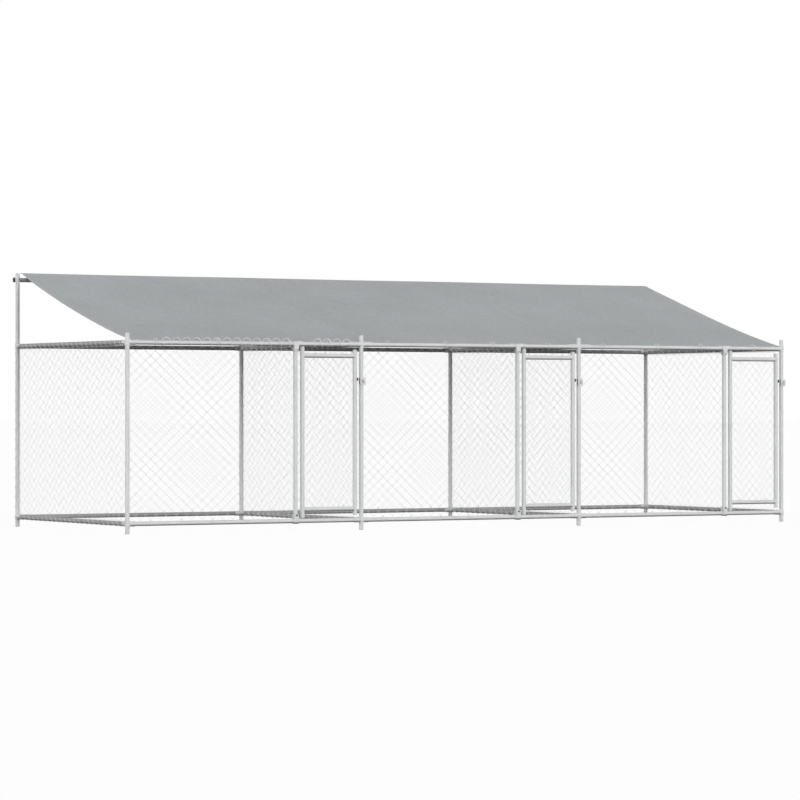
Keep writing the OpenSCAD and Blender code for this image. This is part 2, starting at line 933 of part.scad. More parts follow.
// A plate that folds across the post, with a slot for the padlock lug
module door_hasp(k) {
  color(galvanised)
    translate([post_x(k) - latch_gap + hinge_pin_dx, front_y + hasp_y, latch_z])
      difference() {
        union() {
          translate([0, 0, hinge_rise])
            cylinder(d = knuckle_d, h = knuckle_h, center = true);
          translate([0, hasp_t / 2, 0])
            rotate([90, 0, 0])
              linear_extrude(hasp_t)
                hasp_outline();
        }
        cylinder(d = hasp_pin_d + 2 * run_gap, h = 2 * hasp_h, center = true);
      }
}

// A plate with round corners and a neck that leads to its hinge
module hasp_outline() {
  plate_w = plate_end - hasp_neck;
  difference() {
    union() {
      translate([0, hinge_rise - knuckle_h / 2])
        square([hasp_neck + hasp_corner, knuckle_h]);
      translate([hasp_neck + hasp_corner, -hasp_h / 2])
        square([plate_w - 2 * hasp_corner, hasp_h]);
      translate([hasp_neck, -hasp_h / 2 + hasp_corner])
        square([plate_w, hasp_h - 2 * hasp_corner]);
      for (x = [hasp_neck + hasp_corner, plate_end - hasp_corner], side = [-1, 1])
        translate([x, side * (hasp_h / 2 - hasp_corner)])
          circle(r = hasp_corner);
    }
    translate([lug_dx - slot_near, -lug_h / 2 - slot_gap])
      square([slot_near + slot_far, lug_h + 2 * slot_gap]);
  }
}

for (i = [1 : bays + 1]) {
  front_post(i);
  back_post(i);
}
post_feet();
post_caps();
front_rails(top_rail_z);  // front_top_rails
front_rails(bottom_rail_z);  // front_bottom_rails
back_rails(top_rail_z);  // back_top_rails
back_rails(bottom_rail_z);  // back_bottom_rails
cross_rails(top_rail_z);  // cross_top_rails
cross_rails(bottom_rail_z);  // cross_bottom_rails
front_connectors();
back_connectors();
fitting_screws();
cross_mesh(0);  // side_mesh_1
cross_mesh(1);  // divider_mesh_1
cross_mesh(2);  // divider_mesh_2
cross_mesh(3);  // side_mesh_2
door_posts();
door_post_clamps();
clamp_bolts();
hex_nuts();
hinge_pins();
latch_keepers();
roof_rails();
roof_rail_sleeves();
roof_rail_plugs();
roof_rail_bolts();
roof_sheet();
roof_ties();
for (k = [1 : bays]) {
  back_mesh(k);
  front_mesh(k);
  door_frame(k);
  door_bushes(k);
  door_mesh(k);
  door_latch_bracket(k);
  door_hasp_pin(k);
  door_hasp(k);
}
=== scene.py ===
import math

import bpy
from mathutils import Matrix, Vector, noise


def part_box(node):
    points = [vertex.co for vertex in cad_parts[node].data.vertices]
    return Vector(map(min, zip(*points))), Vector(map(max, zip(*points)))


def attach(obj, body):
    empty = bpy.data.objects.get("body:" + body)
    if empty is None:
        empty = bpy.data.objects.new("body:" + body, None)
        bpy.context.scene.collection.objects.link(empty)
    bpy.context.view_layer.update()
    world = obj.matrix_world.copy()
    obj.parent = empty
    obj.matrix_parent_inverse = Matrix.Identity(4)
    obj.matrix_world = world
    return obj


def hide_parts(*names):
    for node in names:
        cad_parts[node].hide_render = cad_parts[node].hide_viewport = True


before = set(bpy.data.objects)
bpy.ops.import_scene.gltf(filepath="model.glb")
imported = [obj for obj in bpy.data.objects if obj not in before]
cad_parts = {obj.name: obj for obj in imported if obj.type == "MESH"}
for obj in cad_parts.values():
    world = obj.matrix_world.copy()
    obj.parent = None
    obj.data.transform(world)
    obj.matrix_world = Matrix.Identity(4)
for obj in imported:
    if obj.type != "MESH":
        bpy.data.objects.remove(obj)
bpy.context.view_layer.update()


# Measures of the run, read from its frame

def middle(node):
    low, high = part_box(node)
    return (low + high) / 2


bays = (1, 2, 3)
post_xs = [middle(f"back_post_{i}").x for i in (1, 2, 3, 4)]
front_y = middle("front_post_1").y
back_y = middle("back_post_1").y
post_low, post_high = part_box("back_post_1")
tube_r = (post_high.x - post_low.x) / 2
top_rail_z = middle("back_top_rails").z
bottom_rail_z = middle("back_bottom_rails").z
roof_rail_y = middle("roof_rails").y
roof_rail_z = middle("roof_rails").z
cover_low, cover_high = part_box("roof_sheet")

# From a door post and a latch stile to the post on their right, and between a door's stiles

door_post_off = 0.578
latch_off = 0.057
stile_gap = 0.461
door_post_xs = [x - door_post_off for x in post_xs[1:]]

# What is left between a wire or a plug and the tube beside it

touch = 0.0002


# Handling of pieces

def pick(*pieces):
    if bpy.context.object and bpy.context.object.mode != "OBJECT":
        bpy.ops.object.mode_set(mode="OBJECT")
    bpy.ops.object.select_all(action="DESELECT")
    for piece in pieces:
        piece.select_set(True)
    if pieces:
        bpy.context.view_layer.objects.active = pieces[0]


def weld_pieces(name, pieces):
    """Joins pieces into one object."""
    pick(*pieces)
    if len(pieces) > 1:
        bpy.ops.object.join()
    piece = bpy.context.object
    piece.name = name
    piece.data.name = name
    return piece


def settle(piece):
    """Moves a piece's place and turn into its mesh."""
    pick(piece)
    bpy.ops.object.transform_apply(location=True, rotation=True, scale=True)
    return piece


def twin_of(piece, name):
    """Another of the same piece, with its own mesh."""
    twin = piece.copy()
    twin.data = piece.data.copy()
    twin.name = name
    twin.data.name = name
    bpy.context.scene.collection.objects.link(twin)
    return twin


def copy_to(piece, name, offset, turn=0.0):
    """A twin that is moved, and turned about the upright."""
    twin = twin_of(piece, name)
    twin.rotation_euler = (0.0, 0.0, turn)
    twin.location = offset
    return settle(twin)


def apply_all(piece):
    pick(piece)
    for modifier in list(piece.modifiers):
        bpy.ops.object.modifier_apply(modifier=modifier.name)
    return piece


def repeat(piece, count, offset):
    """Copies a piece along an offset, all in one mesh."""
    row = piece.modifiers.new("row", "ARRAY")
    row.count = count
    row.use_relative_offset = False
    row.use_constant_offset = True
    row.constant_offset_displace = offset
    return apply_all(piece)


def smooth(piece, degrees):
    """Smooths all but the edges that are sharper than an angle."""
    pick(piece)
    bpy.ops.object.shade_smooth_by_angle(angle=math.radians(degrees))


def bent_wire(name, points, radius, sides=6, closed=False, swell=None):
    """A round wire along a line of points, as a mesh, thicker where swell says how much."""
    curve = bpy.data.curves.new(name, "CURVE")
    curve.dimensions = "3D"
    curve.bevel_depth = radius
    curve.bevel_resolution = (sides - 4) // 2
    curve.use_fill_caps = not closed
    spline = curve.splines.new("POLY")
    spline.points.add(len(points) - 1)
    for knot, place in zip(spline.points, points):
        knot.co = (place[0], place[1], place[2], 1.0)
    for knot, share in zip(spline.points, swell or []):
        knot.radius = share
    spline.use_cyclic_u = closed
    wire = bpy.data.objects.new(name, curve)
    bpy.context.scene.collection.objects.link(wire)
    pick(wire)
    bpy.ops.object.convert(target="MESH")
    wire = bpy.context.object
    bpy.ops.object.shade_smooth()
    return wire


def turned(profile, sides, filled):
    """A piece turned from pairs of radius and height: filled at both ends, or else a closed ring."""
    pick()
    radius, height = profile[0]
    bpy.ops.mesh.primitive_circle_add(vertices=sides, radius=radius, location=(0, 0, height),
                                      fill_type="NGON" if filled else "NOTHING")
    piece = bpy.context.object
    bpy.ops.object.mode_set(mode="EDIT")
    bpy.ops.mesh.select_all(action="SELECT")
    extrude = bpy.ops.mesh.extrude_region_move if filled else bpy.ops.mesh.extrude_edges_move
    for (r0, z0), (r1, z1) in zip(profile, profile[1:]):
        extrude(TRANSFORM_OT_translate={"value": (0, 0, z1 - z0)})
        bpy.ops.transform.resize(value=(r1 / r0, r1 / r0, 1.0), center_override=(0, 0, 0))
    if not filled:
        bpy.ops.mesh.select_all(action="DESELECT")
        bpy.ops.mesh.select_non_manifold()
        bpy.ops.mesh.bridge_edge_loops()
    bpy.ops.mesh.select_all(action="SELECT")
    bpy.ops.mesh.normals_make_consistent(inside=False)
    bpy.ops.object.mode_set(mode="OBJECT")
    return settle(piece)


def ease(t):
    """0 up to t = 0, 1 from t = 1 on, and smooth between them."""
    t = min(1.0, max(0.0, t))
    return t * t * (3 - 2 * t)


def on_ring(hub, out, aside, reach, angle):
    """A place on a ring round a hub, at an angle from out towards aside."""
    return hub + out * (reach * math.cos(angle)) + aside * (reach * math.sin(angle))


# Chain link, woven from zigzag wires that hook round each other

wire_r = 0.00074
weave_y = 0.00115
hook_reach = 0.00175
bend_len = 0.0023
tail_len = 0.006
tail_rise = 0.0055
tip_drop = 0.0015
side_inset = 0.00243
rail_inset = 0.0063

# Diamonds across and up: in the panels between posts, in those beside the doors and in the doors

wide_cells = (23, 17)
front_cells = (16, 17)
door_cells = (5, 15)


def wire_end(x, z, way, up):
    """A wire's end from its tail to its tip, bent back to one side."""
    side_y = 3 * way * weave_y
    tail = (x + way * tail_len, side_y, z + up * tail_rise)
    return [tail, (x + way * tail_len / 4, side_y, z), (x, 0.0, z - up * tip_drop)]


def zigzag(left, right, rise, legs, to_right):
    """One wire of chain link: legs that climb to the right lie in front, the others behind."""
    points = wire_end(left if to_right else right, 0.0, 1 if to_right else -1, 1)
    for leg in range(legs):
        near_x, far_x = (left, right) if to_right else (right, left)
        leg_y = -weave_y if to_right else weave_y
        low_z = leg * rise
        bend = Vector((far_x - near_x, 0.0, rise)).normalized() * bend_len
        points.append((near_x + bend.x, leg_y, low_z + bend.z))
        points.append((far_x - bend.x, leg_y, low_z + rise - bend.z))
        if leg < legs - 1:
            points.append((far_x, 0.0, low_z + rise))
        to_right = not to_right
    head = wire_end(left if to_right else right, legs * rise, 1 if to_right else -1, -1)
    return points + head[::-1]


def chain_link(name, node, cells):
    """A panel of chain link as large as a node's, with its low left corner at the origin."""
    low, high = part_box(node)
    columns, rows = cells
    step = (high.x - low.x - 2 * side_inset) / (2 * columns)
    rise = (high.z - low.z - 2 * rail_inset) / (2 * rows)
    wires = []
    for odd in (0, 1):
        line = zigzag(-hook_reach, step + hook_reach, rise, 2 * rows, odd == 0)
        wire = repeat(bent_wire(name, line, wire_r), columns, (2 * step, 0.0, 0.0))
        wire.location = (side_inset + odd * step, 0.0, rail_inset)
        wires.append(settle(wire))
    return weld_pieces(name, wires)


def hang_panel(pattern, node, body):
    """A copy of a woven panel in the place of its node in the frame."""
    low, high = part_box(node)
    across = high.y - low.y > high.x - low.x
    place = ((low.x + high.x) / 2, low.y, low.z) if across else (low.x, (low.y + high.y) / 2, low.z)
    panel = copy_to(pattern, node + "_woven", place, math.pi / 2 if across else 0.0)
    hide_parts(node)
    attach(panel, body)
    return panel


def hang_panels():
    wide = [f"back_mesh_{k}" for k in bays]
    wide += ["side_mesh_1", "side_mesh_2", "divider_mesh_1", "divider_mesh_2"]
    kinds = (
        ("wide_weave", wide_cells, [(node, "kennel_frame") for node in wide]),
        ("front_weave", front_cells, [(f"front_mesh_{k}", "kennel_frame") for k in bays]),
        ("door_weave", door_cells, [(f"door_{k}_mesh", f"door_{k}") for k in bays]),
    )
    panels = []
    for name, cells, places in kinds:
        pattern = chain_link(name, places[0][0], cells)
        for node, body in places:
            panels.append(hang_panel(pattern, node, body))
        bpy.data.objects.remove(pattern)
    return panels


# Lacing wire that holds the chain link to the cross rails and back posts

lace_r = 0.0017
lace_slack = 0.0032
lace_off_post = 0.066
lace_off_rail = 0.03
turn_steps = 14


def coil_points(start, end, pitch, reach, drop):
    """A coil round a line from start to end, its axis moved by drop towards the chain link."""
    axis = end - start
    steps = turn_steps * max(1, round(axis.length / pitch))
    out = drop.normalized()
    aside = axis.normalized().cross(out)
    points = []
    for n in range(steps + 1):
        hub = start + axis * (n / steps) + drop
        points.append(on_ring(hub, out, aside, reach, 2 * math.pi * n / turn_steps))
    return points


def lace_panels():
    reach = tube_r + lace_r + touch + lace_slack
    pitch = (post_xs[1] - post_xs[0] - 2 * tube_r) / wide_cells[0]
    rise = (top_rail_z - bottom_rail_z - 2 * tube_r) / wide_cells[1]
    lines = []
    for x in post_xs:
        for z, way in ((top_rail_z, -1), (bottom_rail_z, 1)):
            start = Vector((x, front_y + lace_off_post, z))
            end = Vector((x, back_y - lace_off_post, z))
            lines.append(coil_points(start, end, pitch, reach, Vector((0, 0, way * lace_slack))))
    for x in post_xs:
        start = Vector((x, back_y, bottom_rail_z + lace_off_rail))
        end = Vector((x, back_y, top_rail_z - lace_off_rail))
        lines.append(coil_points(start, end, rise, reach, Vector((0, -lace_slack, 0))))
    lacing = weld_pieces("panel_lacing", [bent_wire("lace", line, lace_r) for line in lines])
    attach(lacing, "kennel_frame")
    return lacing


# Wire rings that hold the front, back and door panels to their tubes

ring_r = 0.0011
ring_slack = 0.004
ring_steps = 18


def ring_at(axis_spot, along, toward):
    """A ring round a tube and the edge of the chain link beside it."""
    reach = tube_r + ring_r + touch + ring_slack
    hub = Vector(axis_spot) + toward * ring_slack
    aside = along.cross(toward)
    points = []
    for n in range(ring_steps):
        points.append(on_ring(hub, toward, aside, reach, 2 * math.pi * n / ring_steps))
    return bent_wire("ring", points, ring_r, 6, True)


def ring_panel(node, cells, rows, columns, with_top):
    """Rings at some of a panel's knuckles: at rows of its sides, and columns of its foot and top."""
    low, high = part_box(node)
    y = (low.y + high.y) / 2
    across = Vector((1.0, 0.0, 0.0))
    upright = Vector((0.0, 0.0, 1.0))
    rings = []
    for row in rows:
        z = low.z + rail_inset + (high.z - low.z - 2 * rail_inset) * row / cells[1]
        rings.append(ring_at((low.x - tube_r, y, z), upright, across))
        rings.append(ring_at((high.x + tube_r, y, z), upright, -across))
    for column in columns:
        x = low.x + side_inset + (high.x - low.x - 2 * side_inset) * column / cells[0]
        rings.append(ring_at((x, y, low.z - tube_r), across, upright))
        if with_top:
            rings.append(ring_at((x, y, high.z + tube_r), across, -upright))
    return rings


def ring_panels():
    fixed = []
    sets = [("panel_rings", "kennel_frame", fixed)]
    for k in bays:
        fixed += ring_panel(f"front_mesh_{k}", front_cells, (2, 5, 8, 11, 15), (2, 5, 8, 11, 14), False)
        fixed += ring_panel(f"back_mesh_{k}", wide_cells, (), (3, 6, 9, 12, 15, 18, 21), True)
        rings = ring_panel(f"door_{k}_mesh", door_cells, (2, 5, 8, 11), (1, 4), True)
        sets.append((f"door_{k}_rings", f"door_{k}", rings))
    joined = []
    for name, body, rings in sets:
        joined.append(weld_pieces(name, rings))
        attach(joined[-1], body)
    return joined


# Roof cover: its cloth, and how it laps over the front rail and falls behind the back posts

cover_t = 0.002
cloth_t = 0.0019
cover_step = 0.024
tape_w = 0.0042
hem_w = 0.03
seam_w = 0.04
lap_turn = math.radians(33)
lap_give = 0.2
fitting_seat = cover_low.z + cover_t / 2 - top_rail_z
rail_seat = tube_r + 0.0014
lap_len = fitting_seat * lap_turn
rest_y = back_y - tube_r
crest_y = back_y + tube_r + 0.003
crest_bend = 0.008
flap_cut = 0.11
flap_tail = 0.002
flap_seat = tube_r + 0.0003
to_roof_rail = Vector((roof_rail_y - crest_y, roof_rail_z - cover_high.z + cover_t))
flap_turn = math.atan2(to_roof_rail.y, to_roof_rail.x) + math.asin(flap_seat / to_roof_rail.length)
flap_len = math.sqrt(to_roof_rail.length ** 2 - flap_seat ** 2) + flap_tail
flap_dir = Vector((math.cos(flap_turn), math.sin(flap_turn)))

# Its sag in the frame, and as it hangs at its left and right ends

cover_sag = 0.032
left_sag = 0.042
right_sag = 0.0235

# How far beside a post and a door post their fittings hold its hem up, and the ramp beyond

post_side = 0.068
clamp_side = 0.03
hem_ramp = 0.06

# Its soft waves: height, how close they lie along the run and up the slope, and a place in the noise

waves = ((0.004, 1.7, 0.8, 3.1), (0.0012, 6.0, 2.2, 8.4))

# Margins in which the waves fade: at the front and crest, and at the two ends

calm_slope = 0.25
calm_ends = 0.2

# Lengths in which it leaves the front rail and gives way beside the crest, and how far it gives

hem_rise = 0.2
crest_side = 0.15
crest_give = 0.0018

# Steps in its course: round the lap, up the slope and over the crest

lap_steps = 8
slope_steps = 80
crest_steps = 6

# Rows of its grid that are set: round the lap, beside the crest and before the flap's end

lap_rows = 6
crest_rows = (0.0015, 0.004, 0.007, 0.012)
flap_row = 0.018


def cover_line():
    """The cover's middle line from front hem to flap end, as points across the run."""
    half = cover_t / 2
    low_z = cover_low.z + half
    high_z = cover_high.z - half
    line = []
    for n in range(lap_steps):
        turn = lap_turn * (1 - n / lap_steps)
        out = Vector((-math.sin(turn), math.cos(turn)))
        line.append(Vector((front_y, top_rail_z)) + out * fitting_seat)
    for n in range(slope_steps + 1):
        t = n / slope_steps
        sag = 4 * cover_sag * t * (1 - t)
        line.append(Vector((front_y + (rest_y - front_y) * t, low_z + (high_z - low_z) * t - sag)))
    crest = Vector((crest_y - half * math.tan(flap_turn / 2), high_z))
    start = crest - Vector((crest_bend, 0))
    end = crest + flap_dir * crest_bend
    for n in range(crest_steps + 1):
        t = n / crest_steps
        line.append(start * (1 - t) ** 2 + crest * (2 * t * (1 - t)) + end * t ** 2)
    line.append(crest + flap_dir * flap_len)
    return line


def along_line(line):
    lengths = [0.0]
    for a, b in zip(line, line[1:]):
        lengths.append(lengths[-1] + (b - a).length)
    return lengths


def point_at(line, lengths, s):
    """The place and slope at a length along a line."""
    n = 0
    while n < len(line) - 2 and lengths[n + 1] < s:
        n += 1
    span = lengths[n + 1] - lengths[n]
    t = (s - lengths[n]) / span if span else 0.0
    return line[n].lerp(line[n + 1], t), (line[n + 1] - line[n]).normalized()


def dip_at(x, y):
    """How much lower than its middle line the cover hangs: more to the left, less to the right."""
    t = min(1.0, max(0.0, (y - front_y) / (rest_y - front_y)))
    share = (x - cover_low.x) / (cover_high.x - cover_low.x)
    forward = 1 - (1 - t) ** 1.5
    left = left_sag * (4 * t * (1 - t)) ** 0.75
    right = right_sag * 4 * forward * (1 - forward)
    return left * (1 - share) + right * share - 4 * cover_sag * t * (1 - t)


def stations(end_a, end_b, step, marks):
    """Places from end_a to end_b about a step apart, with the marks among them."""
    count = round((end_b - end_a) / step)
    places = [end_a + (end_b - end_a) * n / count for n in range(count + 1)]
    places = [p for p in places if all(abs(p - m) > step * 0.3 for m in marks)]
    return sorted(places + list(marks))


def bump_between(x, stops):
    """0 at each stop and 1 midway between two."""
    for a, b in zip(stops, stops[1:]):
        if a <= x <= b:
            return math.sin(math.pi * (x - a) / (b - a)) ** 2
    return 0.0


def tie_places():
    """Three ties over the diamonds of each front panel, and one over the middle of each door."""
    columns = front_cells[0]
    places = []
    for left, right in zip(post_xs, post_xs[1:]):
        clear = right - door_post_off - left - 2 * tube_r
        for n in range(3):
            column = math.floor(columns * (n + 0.5) / 3) + 0.5
            places.append(left + tube_r + column * clear / columns)
        places.append(right - latch_off - stile_gap / 2)
    return places


class CoverShape:
    """The course of the cover from its front hem to the flap's end, with its slack across the run."""

    def __init__(self):
        self.line = cover_line()
        self.lengths = along_line(self.line)
        self.total = self.lengths[-1]
        self.crest = self.total - flap_len
        self.ties = [cover_low.x] + tie_places() + [cover_high.x]
        self.known = {}

    def seat(self, x):
        """How far the front hem lies from the rail's axis: on the rail, or on a fitting round it."""
        raised = 0.0
        for places, reach in ((post_xs, post_side), (door_post_xs, clamp_side)):
            for place in places:
                raised = max(raised, 1 - ease((abs(x - place) - reach) / hem_ramp))
        return rail_seat + (fitting_seat - rail_seat) * raised

    def lap(self, x, s):
        """The hem that laps down over the front of the rail, a little less between two ties."""
        turn = (lap_turn - lap_give * bump_between(x, self.ties)) * (1 - s / lap_len)
        reach = self.seat(x)
        place = Vector((x, front_y - reach * math.sin(turn), top_rail_z + reach * math.cos(turn)))
        return place, Vector((0.0, math.cos(turn), math.sin(turn)))

    def slack(self, x, s):
        """How far the cloth is off its middle line: in soft waves, down on the front rail, and a little
        down at the crest between two posts."""
        inner = min(1.0, s / calm_slope) * min(1.0, max(0.0, self.crest - s) / calm_slope)
        inner *= min(1.0, (x - cover_low.x) / calm_ends) * min(1.0, (cover_high.x - x) / calm_ends)
        slack = 0.0
        for height, along, up, start in waves:
            slack += height * inner * noise.noise(Vector((x * along, s * up, start)))
        slack -= (fitting_seat - self.seat(x)) * (1 - ease((s - lap_len) / hem_rise))
        off_crest = abs(s - self.crest)
        if off_crest < crest_side:
            slack -= crest_give * bump_between(x, post_xs) * (1 - off_crest / crest_side)
        return slack

    def spot(self, x, s):
        """The cover's middle layer at x along the run and s from its front hem: place and slope."""
        if s < lap_len:
            return self.lap(x, s)
        if s not in self.known:
            self.known[s] = point_at(self.line, self.lengths, s)
        spot, slope = self.known[s]
        up = Vector((-slope.y, slope.x))
        spot = spot + up * self.slack(x, s) - Vector((0.0, dip_at(x, spot.x)))
        return Vector((x, spot.x, spot.y)), Vector((0.0, slope.x, slope.y))

    def meets_ring(self, x, middle_y, middle_z, reach, start, end):
        """The length along the cover, between start and end, at which a ring passes through it."""
        centre = Vector((x, middle_y, middle_z))
        inside_first = (self.spot(x, start)[0] - centre).length < reach
        for _ in range(30):
            half = (start + end) / 2
            inside = (self.spot(x, half)[0] - centre).length < reach
            if inside == inside_first:
                start = half
            else:
                end = half
        return start


def make_cover(shape):
    """The cover with its hems and seams twice as thick, mapped as it lies flat."""
    total = shape.total
    xs_marks = [cover_low.x, cover_low.x + hem_w, cover_high.x - hem_w, cover_high.x]
    for seam in post_xs[1:3]:
        xs_marks += [seam - seam_w / 2, seam + seam_w / 2]
    xs = stations(cover_low.x, cover_high.x, cover_step, xs_marks)
    rows_marks = [lap_len * n / lap_rows for n in range(lap_rows + 1)] + [hem_w, total - flap_row, total]
    for off in crest_rows:
        rows_marks += [shape.crest - off, shape.crest + off]
    rows = stations(0.0, total, cover_step, rows_marks)
    pick()
    bpy.ops.mesh.primitive_grid_add(x_subdivisions=len(xs) - 1, y_subdivisions=len(rows) - 1, size=1)
    cover = bpy.context.object
    cover.name = "roof_cover"
    mesh = cover.data
    hem = cover.vertex_groups.new(name="hem")
    laid_flat = []
    for vertex in mesh.vertices:
        x = xs[round((vertex.co.x + 0.5) * (len(xs) - 1))]
        s = rows[round((vertex.co.y + 0.5) * (len(rows) - 1))]
        vertex.co = shape.spot(x, s)[0]
        laid_flat.append(((x - cover_low.x) / (cover_high.x - cover_low.x), s / total))
        edge = min(x - cover_low.x, cover_high.x - x, s, total - s)
        off_seam = min(abs(x - post_xs[1]), abs(x - post_xs[2]))
        if edge < hem_w + 0.001 or off_seam < seam_w / 2 + 0.001:
            hem.add([vertex.index], 1.0, "REPLACE")
    flat_map = mesh.uv_layers.active.data
    for loop in mesh.loops:
        flat_map[loop.index].uv = laid_flat[loop.vertex_index]
    cloth = cover.modifiers.new("thickness", "SOLIDIFY")
    cloth.thickness = cloth_t
    cloth.offset = 0.0
    cloth.vertex_group = "hem"
    cloth.thickness_vertex_group = 0.5
    return apply_all(cover)


# Ties, and the cord that laces the front hem to the left bay's rail in two runs of arches

tie_ring_r = 0.027
tie_lift = 0.00785
tie_cord_r = 0.002
tie_steps = 36
sleeve_wall = 0.0009
hem_cord_r = 0.0026
hem_reach = 0.0305
hem_lift = 0.0115
hem_pitch = 0.085
hem_tight = tube_r + hem_cord_r + 0.0021
hem_tail = math.radians(110)
arch_steps = 20

# First and last arch of each run of cord, counted leftwards from x = 0, and the share of a pitch added

hem_runs = ((19, 31, 0.5), (13, 16, 0.3))

# The knots that end a run: steps, the turn in which they draw tight, pitch, and swell from the tip

knot_steps = 10
knot_turn = math.radians(140)
knot_pitch = 0.012
knot_swell = (0.9, 1.7, 1.8, 1.1)


def arch_x(angle, phase):
    return -hem_pitch * (angle / (2 * math.pi) + phase)


def eye_spots(shape):
    """Where the cover's eyelets sit: place, the way that the cover runs there, and size."""
    rails = (
        (front_y, top_rail_z, 0.0, 0.08),
        (roof_rail_y, roof_rail_z, shape.crest, shape.crest + 0.04),
    )
    spots = []
    for rail_y, rail_z, start, end in rails:
        for x in tie_places():
            s = shape.meets_ring(x, rail_y, rail_z + tie_lift, tie_ring_r, start, end)
            spots.append((*shape.spot(x, s), 1.0))
    for first, last, phase in hem_runs:
        for turn in range(first, last + 1):
            angle = 1.2
            for _ in range(3):
                x = arch_x(2 * math.pi * turn + angle, phase)
                s = shape.meets_ring(x, front_y, top_rail_z + hem_lift, hem_reach, 0.02, 0.09)
                place, slope = shape.spot(x, s)
                angle = math.atan2(place.y - front_y, place.z - top_rail_z - hem_lift)
            spots.append((place, slope, small_eye))
    return spots


def make_hem_lacing():
    """Arches of cord over the hem and round the rail, knotted at the ends of each run."""
    runs = []
    for first_turn, last_turn, phase in hem_runs:
        first = 2 * math.pi * first_turn - hem_tail
        last = 2 * math.pi * last_turn + hem_tail
        steps = round((last - first) / (2 * math.pi) * arch_steps)
        points = []
        swell = []
        for n in range(-knot_steps, steps + knot_steps + 1):
            angle = first + n * (last - first) / steps
            before = max(0.0, first - angle)
            after = max(0.0, angle - last)
            tight = ease((before + after) / knot_turn)
            reach = hem_reach + (hem_tight - hem_reach) * tight
            x = arch_x(angle + before - after, phase) + (before - after) * knot_pitch / (2 * math.pi)
            z = top_rail_z + hem_lift * (1 - tight) + reach * math.cos(angle)
            points.append((x, front_y + reach * math.sin(angle), z))
            from_tip = knot_steps + min(n, steps - n)
            swell.append(knot_swell[from_tip] if from_tip < len(knot_swell) else 1.0)
        runs.append(bent_wire("arches", points, hem_cord_r, 8, False, swell))
    lacing = weld_pieces("hem_lacing", runs)
    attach(lacing, "kennel_frame")
    return lacing


def make_ties():
    """Elastic loops through the eyelets and round the rails, each closed by a crimped sleeve."""
    out = Vector((0.0, 1.0, 0.0))
    up = Vector((0.0, 0.0, 1.0))
    ring = []
    for n in range(tie_steps):
        ring.append(on_ring(Vector(), out, up, tie_ring_r, 2 * math.pi * n / tie_steps))
    loop = bent_wire("tie", ring, tie_cord_r, 8, True)
    arc = []
    for degrees in range(164, 197, 4):
        arc.append(on_ring(Vector(), out, up, tie_ring_r, math.radians(degrees)))
    sleeve = bent_wire("sleeve", arc, tie_cord_r + sleeve_wall, 10)
    loops = []
    sleeves = []
    for x in tie_places():
        for y, z, turn in ((front_y, top_rail_z, 0.0), (roof_rail_y, roof_rail_z, math.pi)):
            loops.append(copy_to(loop, "tie", (x, y, z + tie_lift)))
            sleeves.append(copy_to(sleeve, "sleeve", (x, y, z + tie_lift), turn))
    bpy.data.objects.remove(loop)
    bpy.data.objects.remove(sleeve)
    ties = weld_pieces("roof_tie_loops", loops)
    crimps = weld_pieces("roof_tie_sleeves", sleeves)
    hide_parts("roof_ties")
    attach(ties, "kennel_frame")
    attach(crimps, "kennel_frame")
    return ties, crimps


# Holes and eyelets of the cover

eye_hole_r = 0.007
small_eye = 0.5
thin_eye = 0.7
notch_r = 0.022

# Radius and height of an eyelet's upper half, from its hole to its rim

eye_half = ((0.0062, 0.0012), (0.0066, 0.0026), (0.0085, 0.0031), (0.0112, 0.0022), (0.0116, 0.0011))


def notch_cutter(x):
    """A slot a little wider than a front post, open to the front."""
    pick()
    bpy.ops.mesh.primitive_cylinder_add(vertices=40, radius=notch_r, depth=0.08,
                                        location=(x, front_y, cover_low.z))
    hollow = bpy.context.object
    bpy.ops.object.mode_set(mode="EDIT")
    bpy.ops.mesh.select_all(action="DESELECT")
    bpy.ops.object.mode_set(mode="OBJECT")
    for face in hollow.data.polygons:
        face.select = face.normal.y < -0.05
    bpy.ops.object.mode_set(mode="EDIT")
    bpy.ops.mesh.extrude_region_move(TRANSFORM_OT_translate={"value": (0.0, -0.03, 0.0)})
    bpy.ops.object.mode_set(mode="OBJECT")
    return hollow


def cut_cover(cover, eyes):
    """Cuts the flap's two ends, the eyelet holes and the notches round the inner front posts."""
    cutters = []
    for end_x in (cover_low.x, cover_high.x):
        pick()
        place = (end_x, crest_y + 0.1, cover_high.z - 0.05)
        bpy.ops.mesh.primitive_cube_add(size=1.0, location=place, scale=(2 * flap_cut, 0.2, 0.2))
        cutters.append(bpy.context.object)
    for place, slope, size in eyes:
        pick()
        tilt = (math.atan2(slope.z, slope.y), 0.0, 0.0)
        bpy.ops.mesh.primitive_cylinder_add(vertices=20, radius=eye_hole_r * size, depth=0.02,
                                            location=place, rotation=tilt)
        cutters.append(bpy.context.object)
    cutters += [notch_cutter(x) for x in post_xs[1:3]]
    cutter = settle(weld_pieces("cutters", cutters))
    cut = cover.modifiers.new("cut", "BOOLEAN")
    cut.operation = "DIFFERENCE"
    cut.solver = "EXACT"
    cut.object = cutter
    apply_all(cover)
    bpy.data.objects.remove(cutter)
    smooth(cover, 35)


def make_eyelets(eyes):
    """Pressed rings: a barrel through the cover with a rolled flange on both faces."""
    profile = [(radius, -height) for radius, height in eye_half] + list(reversed(eye_half))
    pattern = turned(profile, 20, False)
    pieces = []
    for place, slope, size in eyes:
        eye = twin_of(pattern, "eye")
        eye.location = place
        eye.scale = (size, size, max(size, thin_eye))
        eye.rotation_euler = (math.atan2(slope.z, slope.y), 0.0, 0.0)
        pieces.append(eye)
    bpy.data.objects.remove(pattern)
    rings = settle(weld_pieces("roof_eyelets", pieces))
    smooth(rings, 50)
    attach(rings, "kennel_frame")
    return rings


# Plugs in the roof rail's ends

plug_neck_r = 0.0152
plug_head_r = tube_r + 0.0036


